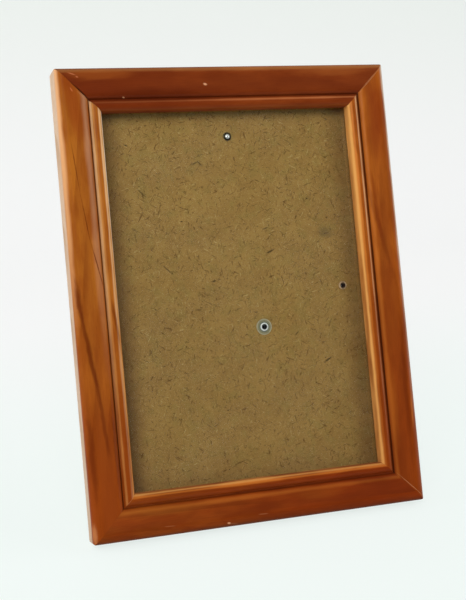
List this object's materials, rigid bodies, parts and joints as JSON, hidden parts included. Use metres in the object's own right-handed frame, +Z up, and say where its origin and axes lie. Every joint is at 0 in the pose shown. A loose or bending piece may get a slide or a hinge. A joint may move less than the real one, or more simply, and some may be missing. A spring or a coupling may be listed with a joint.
{
  "type": "picture frame",
  "caption": "Mitred wooden frame for a small print, with glass, a hardboard back held by turn buttons, two hanging rings and a folding swivel strut.",
  "frame": {"origin": "on the surface the frame stands on, under the middle of the whole object's box", "axes": "+Z up, +X to the right seen from the front, -Y towards the viewer, +Y towards the strut; the frame leans back 17 degrees"},
  "size_m": [0.159, 0.0732, 0.2036],
  "materials": {
    "stained_wood": "red-brown stain under semi-gloss lacquer",
    "hardboard": "pressed hardboard, matt",
    "glass": "clear",
    "plated_steel": "zinc plated, satin",
    "nickel": "nickel plated, bright",
    "pin_steel": "plain steel wire",
    "nail_steel": "blued steel strip"
  },
  "bodies": {
    "frame": {"top_rail": "stained_wood", "bottom_rail": "stained_wood", "left_rail": "stained_wood", "right_rail": "stained_wood", "corner_nails": "nail_steel", "glass_pane": "glass", "backing_board": "hardboard", "swivel_washer": "plated_steel", "swivel_eyelet": "nickel", "top_hanger_strap": "plated_steel", "top_hanger_rivet": "nickel", "side_hanger_strap": "plated_steel", "side_hanger_rivet": "nickel", "button_screws": "nickel"},
    "swivel": {"swivel_plate": "plated_steel", "hinge_pin": "pin_steel"},
    "strut": {"strut_leaf": "plated_steel", "strut_rivets": "nickel", "strut": "hardboard"},
    "top_ring": {"top_hanger_ring": "nickel"},
    "side_ring": {"side_hanger_ring": "nickel"},
    "upper_left_button": {"upper_left_button": "plated_steel"},
    "lower_left_button": {"lower_left_button": "plated_steel"},
    "upper_right_button": {"upper_right_button": "plated_steel"},
    "lower_right_button": {"lower_right_button": "plated_steel"}
  },
  "joints": [
    {"name": "strut_swivel", "type": "hinge", "parent": "frame", "child": "swivel", "pos_m": [0.01, 0.00082, 0.0846], "axis": [0, 0.9563, -0.2924], "range_deg": [0, 90]},
    {"name": "strut_fold", "type": "hinge", "parent": "swivel", "child": "strut", "pos_m": [0.01, -0.00019, 0.07446], "axis": [-1, 0, 0], "range_deg": [0, 32]},
    {"name": "top_ring_swing", "type": "hinge", "parent": "frame", "child": "top_ring", "pos_m": [0.0005, 0.03043, 0.17646], "axis": [1, 0, 0], "range_deg": [-10, 163]},
    {"name": "side_ring_swing", "type": "hinge", "parent": "frame", "child": "side_ring", "pos_m": [0.058, 0.00703, 0.09996], "axis": [0, 0.2924, 0.9563], "range_deg": [-90, 83]},
    {"name": "upper_left_button_turn", "type": "hinge", "parent": "frame", "child": "upper_left_button", "pos_m": [-0.0705, 0.02308, 0.1557], "axis": [0, 0.9563, -0.2924], "continuous": true},
    {"name": "lower_left_button_turn", "type": "hinge", "parent": "frame", "child": "lower_left_button", "pos_m": [-0.0705, -0.01083, 0.04477], "axis": [0, 0.9563, -0.2924], "continuous": true},
    {"name": "upper_right_button_turn", "type": "hinge", "parent": "frame", "child": "upper_right_button", "pos_m": [0.0705, 0.02308, 0.1557], "axis": [0, 0.9563, -0.2924], "continuous": true},
    {"name": "lower_right_button_turn", "type": "hinge", "parent": "frame", "child": "lower_right_button", "pos_m": [0.0705, -0.01083, 0.04477], "axis": [0, 0.9563, -0.2924], "continuous": true}
  ]
}
